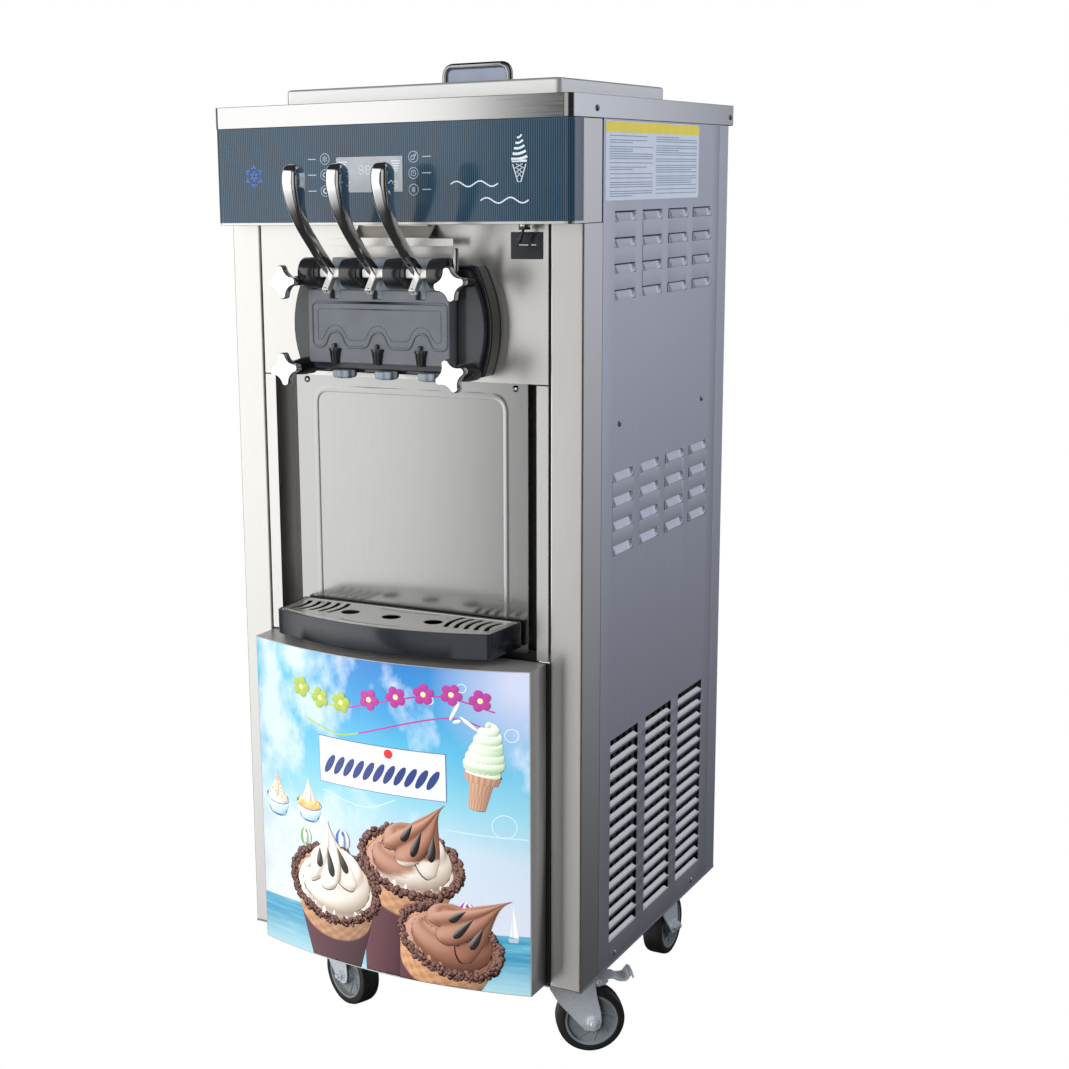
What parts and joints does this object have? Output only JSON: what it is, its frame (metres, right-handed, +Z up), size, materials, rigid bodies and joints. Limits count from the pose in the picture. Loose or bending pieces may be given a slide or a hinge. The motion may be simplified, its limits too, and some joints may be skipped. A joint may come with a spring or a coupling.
{
  "type": "soft serve machine",
  "caption": "Floor-standing soft serve machine: tap levers on a clamped dispensing head, drip tray, lower picture door, lidded hoppers, louvred sides and swivel casters.",
  "frame": {"origin": "on the floor, under the middle of the machine's box", "axes": "+Z up, +Y from the front to the back, +X to the right as seen from the front"},
  "size_m": [0.5568, 0.7155, 1.421],
  "materials": {
    "steel": "brushed stainless sheet, vertical grain",
    "polished_steel": "bright pressed stainless sheet",
    "side_steel": "satin sheet, bluish grey",
    "zinc": "bright zinc plating on pressed steel",
    "chrome": "polished",
    "black_plastic": "moulded, semi-gloss",
    "grey_plastic": "moulded, matt",
    "film": "printed film, fine vertical lines",
    "display": "clear window over a dark display",
    "poster_film": "printed picture film, satin",
    "label": "printed label",
    "tyre": "solid rubber tread",
    "wheel_hub": "moulded hub",
    "painted": "black enamel",
    "aluminium": "plain"
  },
  "bodies": {
    "cabinet": {"base_frame": "zinc", "front_column_left": "steel", "front_column_right": "steel", "side_panel_left": "side_steel", "side_panel_right": "side_steel", "rear_panel": "side_steel", "cable_gland": "black_plastic", "top_cap": "steel", "header_housing": "steel", "control_film": "film", "lcd_window": "display", "upper_front_panel": "steel", "alcove_frame": "steel", "splash_panel": "steel", "deflector_bracket": "steel", "switch_bush": "black_plastic", "head_surround": "black_plastic", "head_block": "black_plastic", "outlet_cap_left": "grey_plastic", "outlet_cap_middle": "grey_plastic", "outlet_cap_right": "grey_plastic", "hopper_left": "steel", "hopper_right": "steel", "freezing_cylinder_left": "aluminium", "freezing_cylinder_right": "aluminium", "gear_motor_left": "painted", "gear_motor_right": "painted", "compressor": "painted", "condenser": "aluminium", "control_box": "painted"},
    "tap_left": {"tap_lever_left": "chrome"},
    "valve_left": {"plunger_left": "grey_plastic"},
    "tap_middle": {"tap_lever_middle": "chrome"},
    "valve_middle": {"plunger_middle": "grey_plastic"},
    "tap_right": {"tap_lever_right": "chrome"},
    "valve_right": {"plunger_right": "grey_plastic"},
    "lever_rod": {"pivot_rod": "chrome"},
    "knob_upper_left": {"star_knob_upper_left": "chrome"},
    "knob_upper_right": {"star_knob_upper_right": "chrome"},
    "knob_lower_left": {"star_knob_lower_left": "chrome"},
    "knob_lower_right": {"star_knob_lower_right": "chrome"},
    "switch_bat": {"toggle_lever": "black_plastic"},
    "lid": {"hopper_lid": "polished_steel", "lid_handle": "chrome"},
    "tray": {"drip_tray": "black_plastic"},
    "grid": {"drip_grid": "steel"},
    "door": {"poster_door": "steel"},
    "beater_left": {"beater_left": "grey_plastic"},
    "beater_right": {"beater_right": "grey_plastic"},
    "fan": {"condenser_fan": "black_plastic"},
    "fork_front_left": {"caster_fork_front_left": "zinc"},
    "wheel_front_left": {"caster_wheel_front_left": "tyre"},
    "pedal_front_left": {"brake_pedal_front_left": "zinc"},
    "fork_front_right": {"caster_fork_front_right": "zinc"},
    "wheel_front_right": {"caster_wheel_front_right": "tyre"},
    "pedal_front_right": {"brake_pedal_front_right": "zinc"},
    "fork_rear_left": {"caster_fork_rear_left": "zinc"},
    "wheel_rear_left": {"caster_wheel_rear_left": "tyre"},
    "fork_rear_right": {"caster_fork_rear_right": "zinc"},
    "wheel_rear_right": {"caster_wheel_rear_right": "tyre"}
  },
  "joints": [
    {"name": "tap_left_pull", "type": "hinge", "parent": "cabinet", "child": "tap_left", "pos_m": [-0.066, -0.253, 1.1345], "axis": [1, 0, 0], "range_deg": [0, 40]},
    {"name": "valve_left_lift", "type": "slide", "parent": "cabinet", "child": "valve_left", "axis": [0, 0, 1], "range_m": [0, 0.0127]},
    {"name": "tap_middle_pull", "type": "hinge", "parent": "cabinet", "child": "tap_middle", "pos_m": [0, -0.253, 1.1345], "axis": [1, 0, 0], "range_deg": [0, 40]},
    {"name": "valve_middle_lift", "type": "slide", "parent": "cabinet", "child": "valve_middle", "axis": [0, 0, 1], "range_m": [0, 0.0127]},
    {"name": "tap_right_pull", "type": "hinge", "parent": "cabinet", "child": "tap_right", "pos_m": [0.066, -0.253, 1.1345], "axis": [1, 0, 0], "range_deg": [0, 40]},
    {"name": "valve_right_lift", "type": "slide", "parent": "cabinet", "child": "valve_right", "axis": [0, 0, 1], "range_m": [0, 0.0127]},
    {"name": "lever_rod_pull", "type": "slide", "parent": "cabinet", "child": "lever_rod", "axis": [1, 0, 0], "range_m": [0, 0.23]},
    {"name": "knob_upper_left_turn", "type": "hinge", "parent": "cabinet", "child": "knob_upper_left", "pos_m": [-0.127, -0.2825, 1.123], "axis": [0, -1, 0], "continuous": true},
    {"name": "knob_upper_right_turn", "type": "hinge", "parent": "cabinet", "child": "knob_upper_right", "pos_m": [0.127, -0.2825, 1.123], "axis": [0, -1, 0], "continuous": true},
    {"name": "knob_lower_left_turn", "type": "hinge", "parent": "cabinet", "child": "knob_lower_left", "pos_m": [-0.127, -0.2825, 1.007], "axis": [0, -1, 0], "continuous": true},
    {"name": "knob_lower_right_turn", "type": "hinge", "parent": "cabinet", "child": "knob_lower_right", "pos_m": [0.127, -0.2825, 1.007], "axis": [0, -1, 0], "continuous": true},
    {"name": "switch_toggle", "type": "hinge", "parent": "cabinet", "child": "switch_bat", "pos_m": [0.196, -0.212, 1.1925], "axis": [0, 1, 0], "range_deg": [-40, 0]},
    {"name": "lid_lift", "type": "slide", "parent": "cabinet", "child": "lid", "axis": [0, 0, 1], "range_m": [0, 0.15]},
    {"name": "tray_slide", "type": "slide", "parent": "cabinet", "child": "tray", "axis": [0, -1, 0], "range_m": [0, 0.15]},
    {"name": "grid_lift", "type": "slide", "parent": "tray", "child": "grid", "axis": [0, 0, 1], "range_m": [0, 0.05]},
    {"name": "door_lift_off", "type": "slide", "parent": "cabinet", "child": "door", "axis": [0, -1, 0], "range_m": [0, 0.15]},
    {"name": "beater_left_spin", "type": "hinge", "parent": "cabinet", "child": "beater_left", "pos_m": [-0.066, -0.044, 1.065], "axis": [0, 1, 0], "continuous": true},
    {"name": "beater_right_spin", "type": "hinge", "parent": "cabinet", "child": "beater_right", "pos_m": [0.066, -0.044, 1.065], "axis": [0, 1, 0], "continuous": true},
    {"name": "fan_spin", "type": "hinge", "parent": "cabinet", "child": "fan", "pos_m": [0.178, 0.076, 0.34], "axis": [1, 0, 0], "continuous": true},
    {"name": "swivel_front_left", "type": "hinge", "parent": "cabinet", "child": "fork_front_left", "pos_m": [-0.195, -0.082, 0.13], "axis": [0, 0, 1], "continuous": true},
    {"name": "roll_front_left", "type": "hinge", "parent": "fork_front_left", "child": "wheel_front_left", "pos_m": [-0.16069, -0.09586, 0.05], "axis": [0.3746, 0.9272, 0], "continuous": true},
    {"name": "brake_front_left", "type": "hinge", "parent": "fork_front_left", "child": "pedal_front_left", "pos_m": [-0.1542, -0.09848, 0.115], "axis": [0.3746, 0.9272, 0], "range_deg": [0, 12]},
    {"name": "swivel_front_right", "type": "hinge", "parent": "cabinet", "child": "fork_front_right", "pos_m": [0.195, -0.082, 0.13], "axis": [0, 0, 1], "continuous": true},
    {"name": "roll_front_right", "type": "hinge", "parent": "fork_front_right", "child": "wheel_front_right", "pos_m": [0.22567, -0.06131, 0.05], "axis": [-0.5592, 0.829, 0], "continuous": true},
    {"name": "brake_front_right", "type": "hinge", "parent": "fork_front_right", "child": "pedal_front_right", "pos_m": [0.23148, -0.0574, 0.115], "axis": [-0.5592, 0.829, 0], "range_deg": [0, 12]},
    {"name": "swivel_rear_left", "type": "hinge", "parent": "cabinet", "child": "fork_rear_left", "pos_m": [-0.195, 0.264, 0.13], "axis": [0, 0, 1], "continuous": true},
    {"name": "roll_rear_left", "type": "hinge", "parent": "fork_rear_left", "child": "wheel_rear_left", "pos_m": [-0.195, 0.301, 0.05], "axis": [-1, 0, 0], "continuous": true},
    {"name": "swivel_rear_right", "type": "hinge", "parent": "cabinet", "child": "fork_rear_right", "pos_m": [0.195, 0.264, 0.13], "axis": [0, 0, 1], "continuous": true},
    {"name": "roll_rear_right", "type": "hinge", "parent": "fork_rear_right", "child": "wheel_rear_right", "pos_m": [0.195, 0.301, 0.05], "axis": [-1, 0, 0], "continuous": true}
  ],
  "couplings": [
    {"joint": "valve_left_lift", "follows": "tap_left_pull", "m_per_rad": 0.018},
    {"joint": "valve_middle_lift", "follows": "tap_middle_pull", "m_per_rad": 0.018},
    {"joint": "valve_right_lift", "follows": "tap_right_pull", "m_per_rad": 0.018}
  ]
}
